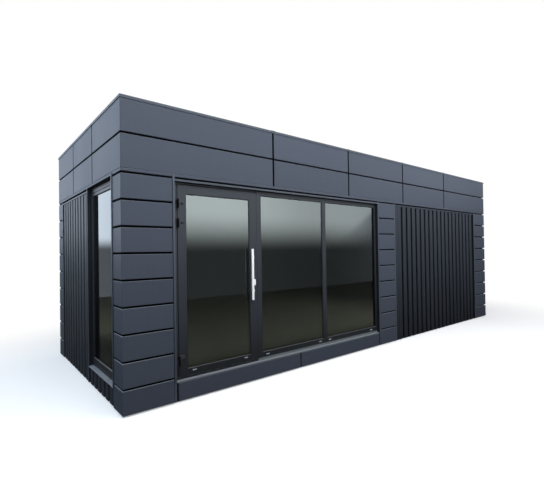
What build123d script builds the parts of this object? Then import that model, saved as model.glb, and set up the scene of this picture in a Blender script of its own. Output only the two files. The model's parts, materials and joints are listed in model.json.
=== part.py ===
"""Flat-roofed cabin of the shipping container kind, clad in folded cassettes and box-rib sheets.

Frame: +Z up, origin on the ground under the middle of the cabin, front towards -Y.
Lengths are millimetres. Each side is laid out in a frame of its own: x runs from its left
corner to its right as seen from outside, y runs inwards from the cladding's face.
"""
import math
import os

from build123d import *

# Overall, between the faces of the cladding and from the ground to the top of the coping
LENGTH = 7950.0
DEPTH = 2950.0
HEIGHT = 3000.0

# Cassettes: trays of folded sheet, open at the back, with black shadow gaps between them
SHEET = 2.0
CLAD_DEPTH = 40.0
SHADOW_GAP = 20.0
GROUND_CLEAR = 15.0
ROWS = 9
CORNER_LONG = 507.0
CORNER_SHORT = 255.0
PIER = 425.0
FOLD_SHARE = 1.4

# Fascia: two rows over a drip rail, under the coping
FASCIA_LOWER = 372.0
FASCIA_UPPER = 323.0
FASCIA_END_LONG = 1832.0
FASCIA_END_SHORT = 1000.0
FASCIA_PANEL = 1430.0
DRIP_HEIGHT = 30.0
COPING_HEIGHT = 30.0
COPING_PROUD = 6.0
COPING_SHEET = 3.0
COPING_ROOM = 2.0
MITRE_GAP = 0.5

# Trims round the openings and beside the rib sheets
TRIM_FACE = 27.0
TRIM_JOINT = 2.0
HEAD_TRIM = 22.0

# Box-rib sheets
RIB_PITCH = 150.0
RIB_FACE = 98.0
RIB_RUN = 6.0
RIB_SET = 8.0

# Base frame, floor, walls and roof
BASE_HEIGHT = 150.0
BEAM_FLANGE = 100.0
BEAM_WALL = 8.0
JOIST_FLANGE = 60.0
JOIST_WALL = 6.0
JOIST_PITCH = 620.0
FLOOR = 50.0
WALL = 135.0
ROOF_DECK = 150.0
ROOF_SINK = 150.0
UPSTAND = 100.0
UPSTAND_JOINT = 1.0
MEMBRANE = 6.0

# Glazed front and side window
OPENING_WIDTH = 3428.0
WINDOW_WIDTH = 953.0
RECESS = 47.0
WINDOW_RECESS = 49.0
FRAME_DEPTH = 80.0
FRAME_LAP = 34.0
FRAME_EASE = 1.5
HINGE_JAMB_SHOW = 41.5
JAMB_SHOW = 27.0
HEAD_SHOW = 53.0
MULLION = 69.0
PANE_WIDTH = 1067.5
BOTTOM_RAIL = 153.0
GLASS = 24.0
GLASS_SET = 13.0
GLASS_BITE = 12.0
GLASS_ROOM = 3.0
SILL_LEVEL = 206.0
SILL_RISE = 8.0
SILL_LIP = 8.0
SILL_ROOM = 2.0

# Door leaf, hung on the left and opening outwards
LEAF_WIDTH = 1005.0
LEAF_DEPTH = 65.0
LEAF_DROP = 20.5
STILE = 97.0
LEAF_TOP_RAIL = 95.0
LEAF_BOTTOM_RAIL = 67.0
HINGE_GAP = 6.0
LOCK_GAP = 9.0
LEAF_GAP = 6.0
STOP_GAP = 6.0
STOP_LAP = 8.0
THRESHOLD = 85.0

# Barrel hinges on the face of the frame
HINGE_TOP_DROP = 202.0
HINGE_PAIR_PITCH = 199.5
HINGE_BOTTOM_RISE = 167.0
HINGE_HEIGHT = 97.0
HINGE_STANDOFF = 22.0
BARREL_RADIUS = 11.0
PIN_RADIUS = 5.0
PIN_FIT = 0.06
PIN_CAP = 4.0
KNUCKLE_GAP = 1.0
FLAP_SHEET = 7.0
FRAME_FLAP = 34.0
LEAF_FLAP = 65.0

# Pull handles, bar offset over the glass on slanted posts, and the lock's oval plates
BAR_RADIUS = 15.0
BAR_LENGTH = 598.0
BAR_EDGE = 2.0
BAR_STANDOFF = 48.0
BAR_INSET = 91.0
POST_RADIUS = 9.0
POST_PITCH = 391.0
ROSETTE_RADIUS = 15.0
ROSETTE = 5.0
HANDLE_RISE = 1008.5
LOCK_INSET = 33.0
LOCK_RISE = 912.0
LOCK_WIDTH = 32.0
LOCK_HEIGHT = 76.0
LOCK_PLATE = 8.0
LOCK_EDGE = 2.5
PLUG_RADIUS = 8.5
PLUG_PROUD = 2.0

OVERRUN = 50.0

# Levels, from the ground up
fold = SHEET * FOLD_SHARE
fascia_joint = HEIGHT - COPING_HEIGHT - FASCIA_UPPER
column_top = fascia_joint - FASCIA_LOWER
row_pitch = column_top / ROWS
fascia_bottom = column_top + SHADOW_GAP / 2
fascia_top = HEIGHT - COPING_HEIGHT / 2
head_trim_top = fascia_bottom - SHADOW_GAP
opening_head = head_trim_top - HEAD_TRIM
trim_top = fascia_bottom - TRIM_JOINT
sill_lip_bottom = SILL_LEVEL - SILL_LIP
floor_top = BASE_HEIGHT + FLOOR
roof_top = HEIGHT - ROOF_SINK
ceiling = roof_top - ROOF_DECK
frame_top = opening_head + FRAME_LAP
rail_top = BASE_HEIGHT + BOTTOM_RAIL
head_bottom = opening_head - HEAD_SHOW
wall_inner = CLAD_DEPTH + WALL

# The front from its left corner: opening, pier and rib sheet
opening_left = CORNER_LONG + TRIM_FACE
opening_right = opening_left + OPENING_WIDTH
pier_left = opening_right + TRIM_FACE
pier_right = pier_left + PIER
front_ribs_left = pier_right + TRIM_FACE
front_ribs_right = LENGTH - opening_left

# The left side from its back corner: rib sheet, window and front corner
short_trim = CORNER_SHORT + TRIM_FACE
window_right = DEPTH - short_trim
window_left = window_right - WINDOW_WIDTH
window_ribs_right = window_left - TRIM_FACE

# The door in its frame
leaf_left = opening_left + HINGE_JAMB_SHOW + HINGE_GAP
leaf_right = leaf_left + LEAF_WIDTH
leaf_top = opening_head - LEAF_DROP
threshold_top = BASE_HEIGHT + THRESHOLD
leaf_bottom = threshold_top + LEAF_GAP
door_head = leaf_top + LEAF_GAP
leaf_back = RECESS + LEAF_DEPTH
jamb_edge = leaf_left - HINGE_GAP
mullion_edge = leaf_right + LOCK_GAP
pane_left = mullion_edge + MULLION
pane_right = opening_right - JAMB_SHOW
pane_middle = pane_left + PANE_WIDTH
stop_front = leaf_back + STOP_GAP
stop_back = RECESS + FRAME_DEPTH
hinge_x = leaf_left - HINGE_GAP / 2
hinge_y = RECESS - HINGE_STANDOFF

SIDES = {
    "front": Location((-LENGTH / 2, -DEPTH / 2, 0), (0, 0, 0)),
    "right": Location((LENGTH / 2, -DEPTH / 2, 0), (0, 0, 90)),
    "back": Location((LENGTH / 2, DEPTH / 2, 0), (0, 0, 180)),
    "left": Location((-LENGTH / 2, DEPTH / 2, 0), (0, 0, 270)),
}
WIDTHS = {"front": LENGTH, "right": DEPTH, "back": LENGTH, "left": DEPTH}
CORNERS = {
    "front": ("front_left", CORNER_LONG, CORNER_SHORT, FASCIA_END_LONG, FASCIA_END_SHORT),
    "right": ("front_right", CORNER_SHORT, CORNER_LONG, FASCIA_END_SHORT, FASCIA_END_LONG),
    "back": ("back_right", CORNER_LONG, CORNER_SHORT, FASCIA_END_LONG, FASCIA_END_SHORT),
    "left": ("back_left", CORNER_SHORT, CORNER_LONG, FASCIA_END_SHORT, FASCIA_END_LONG),
}


def block(x0, x1, y0, y1, z0, z1):
    """A box between two corners."""
    return Pos(x0, y0, z0) * Box(x1 - x0, y1 - y0, z1 - z0, align=(Align.MIN, Align.MIN, Align.MIN))


def upright(points, z0, z1):
    """A plan outline drawn up from z0 to z1."""
    return Pos(0, 0, z0) * extrude(make_face(Polyline(*points, close=True)), amount=z1 - z0)


def lengthwise(points, x0, x1):
    """A section of (y, z) points drawn out along x."""
    section = make_face(Polyline(*points, close=True))
    return Pos(x0, 0, 0) * extrude(Plane.YZ * section, amount=x1 - x0)


def folded(points, bends, cut):
    """An outline with some corners cut across, as the bend of a folded sheet rounds them."""
    outline = []
    for index, corner in enumerate(points):
        if corner not in bends:
            outline.append(corner)
            continue
        for other in (points[index - 1], points[(index + 1) % len(points)]):
            share = cut / math.dist(corner, other)
            outline.append(tuple(a + (b - a) * share for a, b in zip(corner, other)))
    return outline


def on(side, *shapes):
    """Shapes of a side's own frame, set on the cabin."""
    return [SIDES[side] * shape for shape in shapes]


def tray(x0, x1, z0, z1):
    """A flat cassette: folded front edges, returns to the wall, open back."""
    body = block(x0, x1, 0, CLAD_DEPTH, z0, z1)
    body = chamfer(body.faces().sort_by(Axis.Y)[0].edges(), fold)
    hollow = block(x0 + SHEET, x1 - SHEET, SHEET, CLAD_DEPTH + OVERRUN, z0 + SHEET, z1 - SHEET)
    return body - hollow


def corner_outline(arm_x, arm_y, skin, depth):
    """The plan of an angle round a corner, its outer faces set in by skin."""
    return [
        (skin, skin), (arm_x - skin, skin), (arm_x - skin, depth),
        (depth, depth), (depth, arm_y - skin), (skin, arm_y - skin),
    ]


def corner_tray(arm_x, arm_y, z0, z1):
    """A cassette folded round the corner at the start of a side."""
    body = upright(corner_outline(arm_x, arm_y, 0, CLAD_DEPTH), z0, z1)
    faces = [body.faces().sort_by(Axis.X)[0], body.faces().sort_by(Axis.Y)[0]]
    edges = set(faces[0].edges()) | set(faces[1].edges())
    body = chamfer(list(edges), fold)
    hollow = upright(corner_outline(arm_x, arm_y, SHEET, CLAD_DEPTH + OVERRUN), z0 + SHEET, z1 - SHEET)
    return body - hollow


def row_levels():
    """Bottom and top of each cassette row, the lowest cut off clear of the ground."""
    levels = []
    for row in range(ROWS):
        low = row * row_pitch + SHADOW_GAP / 2
        levels.append((low if row else GROUND_CLEAR, (row + 1) * row_pitch - SHADOW_GAP / 2))
    return levels


def rib_sheet(x0, x1, z0, z1):
    """A box-rib sheet: whole ribs in the middle of the width, a valley at either edge."""
    ribs = int((x1 - x0) / RIB_PITCH)
    valley = CLAD_DEPTH - SHEET
    thin = SHEET * math.tan(math.atan2(valley - RIB_SET, RIB_RUN) / 2)
    first = (x0 + x1) / 2 - (ribs - 1) * RIB_PITCH / 2
    half = RIB_FACE / 2
    foot = half + RIB_RUN
    front = [(x0, valley)]
    back = [(x0, valley + SHEET)]
    for rib in range(ribs):
        middle = first + rib * RIB_PITCH
        for reach, y in ((-foot, valley), (-half, RIB_SET), (half, RIB_SET), (foot, valley)):
            inner = reach - math.copysign(thin, reach)
            front.append((middle + reach, y))
            back.append((middle + inner, y + SHEET))
    front.append((x1, valley))
    back.append((x1, valley + SHEET))
    bends = [point for point in front if point[1] == RIB_SET]
    return upright(folded(front + back[::-1], bends, fold), z0, z1)


def edge_trim(x0, x1):
    """An upright channel trim: a narrow face flush with the cladding and a leg at either side."""
    outline = [
        (x0, 0), (x1, 0), (x1, CLAD_DEPTH), (x1 - SHEET, CLAD_DEPTH),
        (x1 - SHEET, SHEET), (x0 + SHEET, SHEET), (x0 + SHEET, CLAD_DEPTH), (x0, CLAD_DEPTH),
    ]
    return upright(folded(outline, outline[:2], fold), GROUND_CLEAR, trim_top)


def reveal_trim(x0, x1, right, recess):
    """An upright trim at an opening, its leg on that side carried on to the frame."""
    lining = x1 - SHEET if right else x0
    return edge_trim(x0, x1) + block(lining, lining + SHEET, 0, recess, BASE_HEIGHT, head_trim_top)


def head_trim(x0, x1, face, lower_leg):
    """A level channel trim, its lower leg lining the head of an opening or capping a sheet."""
    low = opening_head
    high = head_trim_top
    section = [
        (face, low), (lower_leg, low), (lower_leg, low + SHEET), (face + SHEET, low + SHEET),
        (face + SHEET, high - SHEET), (CLAD_DEPTH, high - SHEET), (CLAD_DEPTH, high), (face, high),
    ]
    return lengthwise(folded(section, (section[0], section[-1]), fold), x0, x1)


def mitred(bar, width, outer, inner):
    """A bar along one side, cut at 45 degrees to meet its neighbours at the corners."""
    start = outer + MITRE_GAP
    end = width - outer - MITRE_GAP
    run = inner - outer
    plan = [(start, outer), (end, outer), (end - run, inner), (start + run, inner)]
    return bar & upright(plan, 0, HEIGHT)


def sill(x0, x1, back):
    """A folded sill: a slope down from the frame and a lip over the cladding below."""
    high = SILL_LEVEL + SILL_RISE
    section = [
        (0, sill_lip_bottom), (SHEET, sill_lip_bottom), (SHEET, SILL_LEVEL - SHEET),
        (back, high - SHEET), (back, high), (0, SILL_LEVEL),
    ]
    return lengthwise(folded(section, section[-1:], fold), x0, x1)


def glazing_groove(recess):
    """Front and back of the groove that grips a sealed unit."""
    return recess + GLASS_SET, recess + GLASS_SET + GLASS


def eased(bar, axis):
    """A bar of a frame with the long edges of its front face eased."""
    return chamfer(bar.faces().sort_by(Axis.Y)[0].edges().filter_by(axis), FRAME_EASE)


def grooved_post(x0, x1, z0, z1, recess, depth, left, right):
    """An upright of a glazed frame, grooved on the sides that hold glass."""
    post = eased(block(x0, x1, recess, recess + depth, z0, z1), Axis.Z)
    y0, y1 = glazing_groove(recess)
    bite = GLASS_BITE + GLASS_ROOM
    if left:
        post -= block(x0 - OVERRUN, x0 + bite, y0, y1, z0 - OVERRUN, z1 + OVERRUN)
    if right:
        post -= block(x1 - bite, x1 + OVERRUN, y0, y1, z0 - OVERRUN, z1 + OVERRUN)
    return post


def grooved_rail(x0, x1, z0, z1, recess, depth, upper):
    """A rail of a glazed frame, grooved along its upper or its lower edge."""
    rail = eased(block(x0, x1, recess, recess + depth, z0, z1), Axis.X)
    y0, y1 = glazing_groove(recess)
    bite = GLASS_BITE + GLASS_ROOM
    low, high = (z1 - bite, z1 + OVERRUN) if upper else (z0 - OVERRUN, z0 + bite)
    return rail - block(x0 - OVERRUN, x1 + OVERRUN, y0, y1, low, high)


def pane(x0, x1, z0, z1, recess):
    """A sealed unit whose edges stand in the grooves round it."""
    y0, y1 = glazing_groove(recess)
    return block(x0 - GLASS_BITE, x1 + GLASS_BITE, y0, y1, z0 - GLASS_BITE, z1 + GLASS_BITE)


def base():
    """Channel beams all round and joists between them, under the floor."""
    web = CLAD_DEPTH + BEAM_WALL
    tip = CLAD_DEPTH + BEAM_FLANGE
    channel = [
        (CLAD_DEPTH, 0), (tip, 0), (tip, BEAM_WALL), (web, BEAM_WALL),
        (web, BASE_HEIGHT - BEAM_WALL), (tip, BASE_HEIGHT - BEAM_WALL),
        (tip, BASE_HEIGHT), (CLAD_DEPTH, BASE_HEIGHT),
    ]
    beam = lengthwise(channel, CLAD_DEPTH, LENGTH - CLAD_DEPTH)
    sides = on("front", beam) + on("back", beam)
    beam = lengthwise(channel, tip, DEPTH - tip)
    ends = on("left", beam) + on("right", beam)
    span = LENGTH - 2 * tip
    bays = round(span / JOIST_PITCH)
    joist = [
        (0, 0), (JOIST_FLANGE, 0), (JOIST_FLANGE, JOIST_WALL), (JOIST_WALL, JOIST_WALL),
        (JOIST_WALL, BASE_HEIGHT - JOIST_WALL), (JOIST_FLANGE, BASE_HEIGHT - JOIST_WALL),
        (JOIST_FLANGE, BASE_HEIGHT), (0, BASE_HEIGHT),
    ]
    beam = lengthwise(joist, tip, DEPTH - tip)
    joists = []
    for bay in range(1, bays):
        joists += on("left", Pos(0, tip + bay * span / bays - JOIST_FLANGE / 2, 0) * beam)
    return {"base_side_beams": sides, "base_cross_beams": ends + joists}


def shell():
    """Floor with tongues to the frames, walls split round the openings, roof, upstands, membrane."""
    nodes = {}
    inner_x = LENGTH / 2 - wall_inner
    inner_y = DEPTH / 2 - wall_inner
    outer_x = LENGTH / 2 - CLAD_DEPTH
    outer_y = DEPTH / 2 - CLAD_DEPTH

    def wall(side, x0, x1, z0=BASE_HEIGHT):
        return on(side, block(x0, x1, CLAD_DEPTH, wall_inner, z0, ceiling))

    cut_left = opening_left - FRAME_LAP
    cut_right = opening_right + FRAME_LAP
    window_cut_left = window_left - FRAME_LAP
    window_cut_right = window_right + FRAME_LAP
    deck = block(-inner_x, inner_x, -inner_y, inner_y, BASE_HEIGHT, floor_top)
    for side, x0, x1, recess in (
            ("front", cut_left, cut_right, RECESS),
            ("left", window_cut_left, window_cut_right, WINDOW_RECESS)):
        tongue = block(x0, x1, recess + FRAME_DEPTH, wall_inner, BASE_HEIGHT, floor_top)
        deck += on(side, tongue)[0]
    nodes["floor_deck"] = [deck]
    nodes["front_wall_left"] = wall("front", CLAD_DEPTH, cut_left)
    nodes["front_wall_head"] = wall("front", cut_left, cut_right, frame_top)
    nodes["front_wall_right"] = wall("front", cut_right, LENGTH - CLAD_DEPTH)
    nodes["back_wall"] = wall("back", CLAD_DEPTH, LENGTH - CLAD_DEPTH)
    nodes["right_wall"] = wall("right", wall_inner, DEPTH - wall_inner)
    nodes["left_wall_back"] = wall("left", wall_inner, window_cut_left)
    nodes["left_wall_head"] = wall("left", window_cut_left, window_cut_right, frame_top)
    nodes["left_wall_front"] = wall("left", window_cut_right, DEPTH - wall_inner)

    nodes["roof_deck"] = [block(-outer_x, outer_x, -outer_y, outer_y, ceiling, roof_top)]
    upstand_top = HEIGHT - COPING_SHEET
    upstand_inner = CLAD_DEPTH + UPSTAND
    nodes["roof_upstands"] = []
    for side, width in WIDTHS.items():
        end = width - upstand_inner - UPSTAND_JOINT
        nodes["roof_upstands"] += on(
            side, block(CLAD_DEPTH, end, CLAD_DEPTH, upstand_inner, roof_top, upstand_top))
    sheet_x = LENGTH / 2 - upstand_inner
    sheet_y = DEPTH / 2 - upstand_inner
    turned_up = block(-sheet_x, sheet_x, -sheet_y, sheet_y, roof_top, upstand_top)
    turned_up -= block(
        -sheet_x + MEMBRANE, sheet_x - MEMBRANE, -sheet_y + MEMBRANE, sheet_y - MEMBRANE,
        roof_top + MEMBRANE, upstand_top + OVERRUN)
    nodes["roof_membrane"] = [turned_up]
    return nodes


def columns():
    """Nine cassettes round each corner and nine flat ones on the pier."""
    nodes = {}
    for side, (name, arm_x, arm_y, _, _) in CORNERS.items():
        nodes[name + "_corner_cassettes"] = [
            on(side, corner_tray(arm_x, arm_y, z0, z1))[0] for z0, z1 in row_levels()]
    nodes["front_pier_cassettes"] = [
        on("front", tray(pier_left + TRIM_JOINT, pier_right - TRIM_JOINT, z0, z1))[0]
        for z0, z1 in row_levels()]
    return nodes


def fascia():
    """Two rows of cassettes all round, the ones at the corners folded, and the drip rail."""
    rows = (
        (fascia_bottom + DRIP_HEIGHT, fascia_joint - SHADOW_GAP / 2),
        (fascia_joint + SHADOW_GAP / 2, fascia_top),
    )
    corners = []
    panels = []
    rails = []
    rail = [
        (0, fascia_bottom), (CLAD_DEPTH, fascia_bottom), (CLAD_DEPTH, fascia_bottom + SHEET),
        (SHEET, fascia_bottom + SHEET), (SHEET, fascia_bottom + DRIP_HEIGHT - SHEET),
        (CLAD_DEPTH, fascia_bottom + DRIP_HEIGHT - SHEET), (CLAD_DEPTH, fascia_bottom + DRIP_HEIGHT),
        (0, fascia_bottom + DRIP_HEIGHT),
    ]
    rail = folded(rail, (rail[0], rail[-1]), fold)
    for side, (_, _, _, end_x, end_y) in CORNERS.items():
        width = WIDTHS[side]
        middles = max(round((width - 2 * end_x) / FASCIA_PANEL), 1)
        pitch = (width - 2 * end_x) / middles
        for z0, z1 in rows:
            corners += on(side, corner_tray(end_x - SHADOW_GAP / 2, end_y - SHADOW_GAP / 2, z0, z1))
            for middle in range(middles):
                x0 = end_x + middle * pitch + SHADOW_GAP / 2
                panels += on(side, tray(x0, x0 + pitch - SHADOW_GAP, z0, z1))
        rails += on(side, mitred(lengthwise(rail, 0, width), width, 0, CLAD_DEPTH))
    return {"fascia_corner_cassettes": corners, "fascia_panels": panels, "fascia_drip_rails": rails}


def coping():
    """The folded cap on the upstands, a leg down outside and inside, mitred at the corners."""
    inner = CLAD_DEPTH + UPSTAND + MEMBRANE + COPING_ROOM + COPING_SHEET
    low = HEIGHT - COPING_HEIGHT
    under = HEIGHT - COPING_SHEET
    section = [
        (-COPING_PROUD, low), (-COPING_PROUD + COPING_SHEET, low), (-COPING_PROUD + COPING_SHEET, under),
        (inner - COPING_SHEET, under), (inner - COPING_SHEET, low), (inner, low),
        (inner, HEIGHT), (-COPING_PROUD, HEIGHT),
    ]
    section = folded(section, section[-2:], COPING_SHEET * FOLD_SHARE)
    lengths = []
    for side, width in WIDTHS.items():
        bar = lengthwise(section, -COPING_PROUD, width + COPING_PROUD)
        lengths += on(side, mitred(bar, width, -COPING_PROUD, inner))
    return {"roof_coping": lengths}


def ribs():
    """Box-rib sheets between the corners, under the side window and all along the back."""
    top = opening_head
    return {
        "front_rib_sheet": on("front", rib_sheet(front_ribs_left, front_ribs_right, GROUND_CLEAR, top)),
        "left_rib_sheet": on("left", rib_sheet(short_trim, window_ribs_right, GROUND_CLEAR, top)),
        "window_apron_sheet": on(
            "left", rib_sheet(window_left, window_right, GROUND_CLEAR, sill_lip_bottom)),
        "right_rib_sheet": on("right", rib_sheet(short_trim, DEPTH - short_trim, GROUND_CLEAR, top)),
        "back_rib_sheet": on("back", rib_sheet(opening_left, LENGTH - opening_left, GROUND_CLEAR, top)),
    }


def trims():
    """Upright trims at each column, level trims over the glazed front and over the rib sheets."""
    def start(corner):
        return corner + TRIM_JOINT

    upright_trims = on(
        "front",
        reveal_trim(start(CORNER_LONG), opening_left, True, RECESS),
        reveal_trim(opening_right, pier_left, False, RECESS),
        edge_trim(pier_right, front_ribs_left),
        edge_trim(front_ribs_right, LENGTH - start(CORNER_LONG)))
    upright_trims += on(
        "left",
        edge_trim(start(CORNER_SHORT), short_trim),
        reveal_trim(window_ribs_right, window_left, True, WINDOW_RECESS),
        reveal_trim(window_right, DEPTH - start(CORNER_SHORT), False, WINDOW_RECESS))
    for side, corner in (("right", CORNER_SHORT), ("back", CORNER_LONG)):
        far = WIDTHS[side]
        upright_trims += on(
            side,
            edge_trim(start(corner), corner + TRIM_FACE),
            edge_trim(far - corner - TRIM_FACE, far - start(corner)))

    def between(side, x0, x1, face, leg):
        return on(side, head_trim(x0 + TRIM_JOINT, x1 - TRIM_JOINT, face, leg))

    cap = RIB_SET / 2
    level_trims = between("front", opening_left, opening_right, 0, RECESS)
    level_trims += between("front", front_ribs_left, front_ribs_right, cap, CLAD_DEPTH)
    level_trims += between("left", short_trim, window_ribs_right, cap, CLAD_DEPTH)
    level_trims += between("right", short_trim, DEPTH - short_trim, cap, CLAD_DEPTH)
    level_trims += between("back", opening_left, LENGTH - opening_left, cap, CLAD_DEPTH)
    return {"edge_trims": upright_trims, "head_trims": level_trims}


def apron():
    """Sills of the glazed front and the window, and the plinth cassettes under the front sill."""
    middle = (opening_left + opening_right) / 2
    top = sill_lip_bottom
    return {
        "front_plinth_cassettes": on(
            "front",
            tray(opening_left + SHADOW_GAP, middle - SHADOW_GAP / 2, GROUND_CLEAR, top),
            tray(middle + SHADOW_GAP / 2, opening_right - SHADOW_GAP, GROUND_CLEAR, top)),
        "front_sill": on("front", sill(opening_left + SILL_ROOM, opening_right - SILL_ROOM, RECESS)),
        "window_sill": on("left", sill(window_left + SILL_ROOM, window_right - SILL_ROOM, WINDOW_RECESS)),
    }


def front_frame():
    """Posts, rails and sealed units of the glazed front; stops stand behind the door leaf."""
    hinge_stop = jamb_edge + HINGE_GAP + STOP_LAP
    lock_stop = mullion_edge - LOCK_GAP - STOP_LAP
    low_stop = threshold_top + LEAF_GAP + STOP_LAP
    high_stop = door_head - LEAF_GAP - STOP_LAP

    def post(x0, x1, left, right):
        return grooved_post(x0, x1, BASE_HEIGHT, frame_top, RECESS, FRAME_DEPTH, left, right)

    def stop(x0, x1, z0, z1):
        return block(x0, x1, stop_front, stop_back, z0, z1)

    hinge_post = post(opening_left - FRAME_LAP, jamb_edge, False, False)
    hinge_post += stop(jamb_edge, hinge_stop, threshold_top, door_head)
    lock_post = post(mullion_edge, pane_left, False, True)
    lock_post += stop(lock_stop, mullion_edge, threshold_top, door_head)
    posts = [
        hinge_post,
        lock_post,
        post(pane_middle, pane_middle + MULLION, True, True),
        post(pane_right, opening_right + FRAME_LAP, True, False),
    ]
    heads = [eased(block(jamb_edge, mullion_edge, RECESS, stop_back, door_head, frame_top), Axis.X)]
    heads[0] += stop(hinge_stop, lock_stop, high_stop, door_head)
    bottoms = [eased(block(jamb_edge, mullion_edge, RECESS, stop_back, BASE_HEIGHT, threshold_top), Axis.X)]
    bottoms[0] += stop(hinge_stop, lock_stop, threshold_top, low_stop)
    panes = []
    for x0, x1 in ((pane_left, pane_middle), (pane_middle + MULLION, pane_right)):
        heads.append(grooved_rail(x0, x1, head_bottom, frame_top, RECESS, FRAME_DEPTH, False))
        bottoms.append(grooved_rail(x0, x1, BASE_HEIGHT, rail_top, RECESS, FRAME_DEPTH, True))
        panes.append(pane(x0, x1, rail_top, head_bottom, RECESS))
    return {
        "front_frame_posts": on("front", *posts),
        "front_frame_heads": on("front", *heads),
        "front_frame_bottoms": on("front", *bottoms),
        "front_fixed_panes": on("front", *panes),
    }


def side_window():
    """The fixed window of the left side, its frame as two posts and two rails."""
    left = window_left + JAMB_SHOW
    right = window_right - JAMB_SHOW

    def post(x0, x1, left, right):
        return grooved_post(x0, x1, BASE_HEIGHT, frame_top, WINDOW_RECESS, FRAME_DEPTH, left, right)

    posts = [
        post(window_left - FRAME_LAP, left, False, True),
        post(right, window_right + FRAME_LAP, True, False),
    ]
    rails = [
        grooved_rail(left, right, head_bottom, frame_top, WINDOW_RECESS, FRAME_DEPTH, False),
        grooved_rail(left, right, BASE_HEIGHT, rail_top, WINDOW_RECESS, FRAME_DEPTH, True),
    ]
    return {
        "window_posts": on("left", *posts),
        "window_rails": on("left", *rails),
        "window_pane": on("left", pane(left, right, rail_top, head_bottom, WINDOW_RECESS)),
    }


def hinge_levels():
    """Bottom of each hinge: a pair near the head of the leaf and one near its foot."""
    top = leaf_top - HINGE_TOP_DROP
    middles = (top, top - HINGE_PAIR_PITCH, leaf_bottom + HINGE_BOTTOM_RISE)
    return [middle - HINGE_HEIGHT / 2 for middle in middles]


def knuckle(low, high, reach, edge):
    """One half of a hinge: its barrel, the lug behind it and its flap on the frame or the leaf."""
    side = math.copysign(1, reach)
    barrel = Pos(hinge_x, hinge_y, low) * Cylinder(
        BARREL_RADIUS, high - low, align=(Align.CENTER, Align.CENTER, Align.MIN))
    lug_x = sorted((hinge_x + side * HINGE_GAP / 2, hinge_x + side * BARREL_RADIUS))
    lug = block(lug_x[0], lug_x[1], hinge_y, RECESS, low, high)
    flap_x = sorted((edge, hinge_x + reach))
    flap = block(flap_x[0], flap_x[1], RECESS - FLAP_SHEET, RECESS, low, high)
    return barrel + lug + flap


def hinges():
    """The fixed half with its pin below, the half on the leaf riding on it above."""
    fixed = []
    moving = []
    for low in hinge_levels():
        middle = low + HINGE_HEIGHT / 2
        top = low + HINGE_HEIGHT
        pin = Pos(hinge_x, hinge_y, low) * Cylinder(
            PIN_RADIUS, HINGE_HEIGHT - PIN_CAP, align=(Align.CENTER, Align.CENTER, Align.MIN))
        bore = Pos(hinge_x, hinge_y, low) * Cylinder(
            PIN_RADIUS + PIN_FIT, HINGE_HEIGHT - PIN_CAP + KNUCKLE_GAP / 2,
            align=(Align.CENTER, Align.CENTER, Align.MIN))
        fixed.append(knuckle(low, middle - KNUCKLE_GAP / 2, -FRAME_FLAP, jamb_edge) + pin)
        moving.append(knuckle(middle + KNUCKLE_GAP / 2, top, LEAF_FLAP, leaf_left) - bore)
    return {"frame_hinge_halves": on("front", *fixed), "door_hinge_halves": on("front", *moving)}


def door_leaf():
    """Stiles and rails round the door's sealed unit."""
    glass_left = leaf_left + STILE
    glass_right = leaf_right - STILE
    glass_bottom = leaf_bottom + LEAF_BOTTOM_RAIL
    glass_top = leaf_top - LEAF_TOP_RAIL
    stiles = [
        grooved_post(leaf_left, glass_left, leaf_bottom, leaf_top, RECESS, LEAF_DEPTH, False, True),
        grooved_post(glass_right, leaf_right, leaf_bottom, leaf_top, RECESS, LEAF_DEPTH, True, False),
    ]
    rails = [
        grooved_rail(glass_left, glass_right, glass_top, leaf_top, RECESS, LEAF_DEPTH, False),
        grooved_rail(glass_left, glass_right, leaf_bottom, glass_bottom, RECESS, LEAF_DEPTH, True),
    ]
    return {
        "door_stiles": on("front", *stiles),
        "door_rails": on("front", *rails),
        "door_glass": on("front", pane(glass_left, glass_right, glass_bottom, glass_top, RECESS)),
    }


def pull_handle(face, outwards):
    """A round bar along the stile's glass edge on two slanted posts with rosettes."""
    bar_x = leaf_right - BAR_INSET
    fix_x = leaf_right - STILE / 2
    bar_y = face + outwards * BAR_STANDOFF
    level = leaf_bottom + HANDLE_RISE
    bar = chamfer(Cylinder(BAR_RADIUS, BAR_LENGTH).edges().filter_by(GeomType.CIRCLE), BAR_EDGE)
    handle = Pos(bar_x, bar_y, level) * bar
    slant = Vector(bar_x - fix_x, bar_y - face, 0)
    y0, y1 = sorted((face, bar_y))
    for step in (-1, 1):
        z = level + step * POST_PITCH / 2
        post = Plane(origin=(fix_x, face, z), z_dir=slant) * Cylinder(POST_RADIUS, 2 * slant.length)
        room = block(bar_x - OVERRUN, fix_x + OVERRUN, y0, y1, z - OVERRUN, z + OVERRUN)
        rosette = Plane(origin=(fix_x, face, z), z_dir=(0, outwards, 0)) * Cylinder(
            ROSETTE_RADIUS, ROSETTE, align=(Align.CENTER, Align.CENTER, Align.MIN))
        handle += (post & room) + rosette
    return handle


def lock_plate(face, outwards):
    """The lock's oval plate with the round plug standing a little proud."""
    at = Plane(
        origin=(leaf_right - LOCK_INSET, face, leaf_bottom + LOCK_RISE),
        x_dir=(0, 0, 1), z_dir=(0, outwards, 0))
    plate = extrude(at * SlotOverall(LOCK_HEIGHT, LOCK_WIDTH), amount=LOCK_PLATE)
    outer = plate.faces().sort_by(Axis.Y)[-1 if outwards > 0 else 0]
    plate = chamfer(outer.edges(), LOCK_EDGE)
    return plate + extrude(at * Circle(PLUG_RADIUS), amount=LOCK_PLATE + PLUG_PROUD)


def door_fittings():
    """Pull handles and lock plates, outside and inside."""
    faces = ((RECESS, -1), (leaf_back, 1))
    return {
        "door_pull_handles": on("front", *[pull_handle(*face) for face in faces]),
        "door_lock_plates": on("front", *[lock_plate(*face) for face in faces]),
    }


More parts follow.
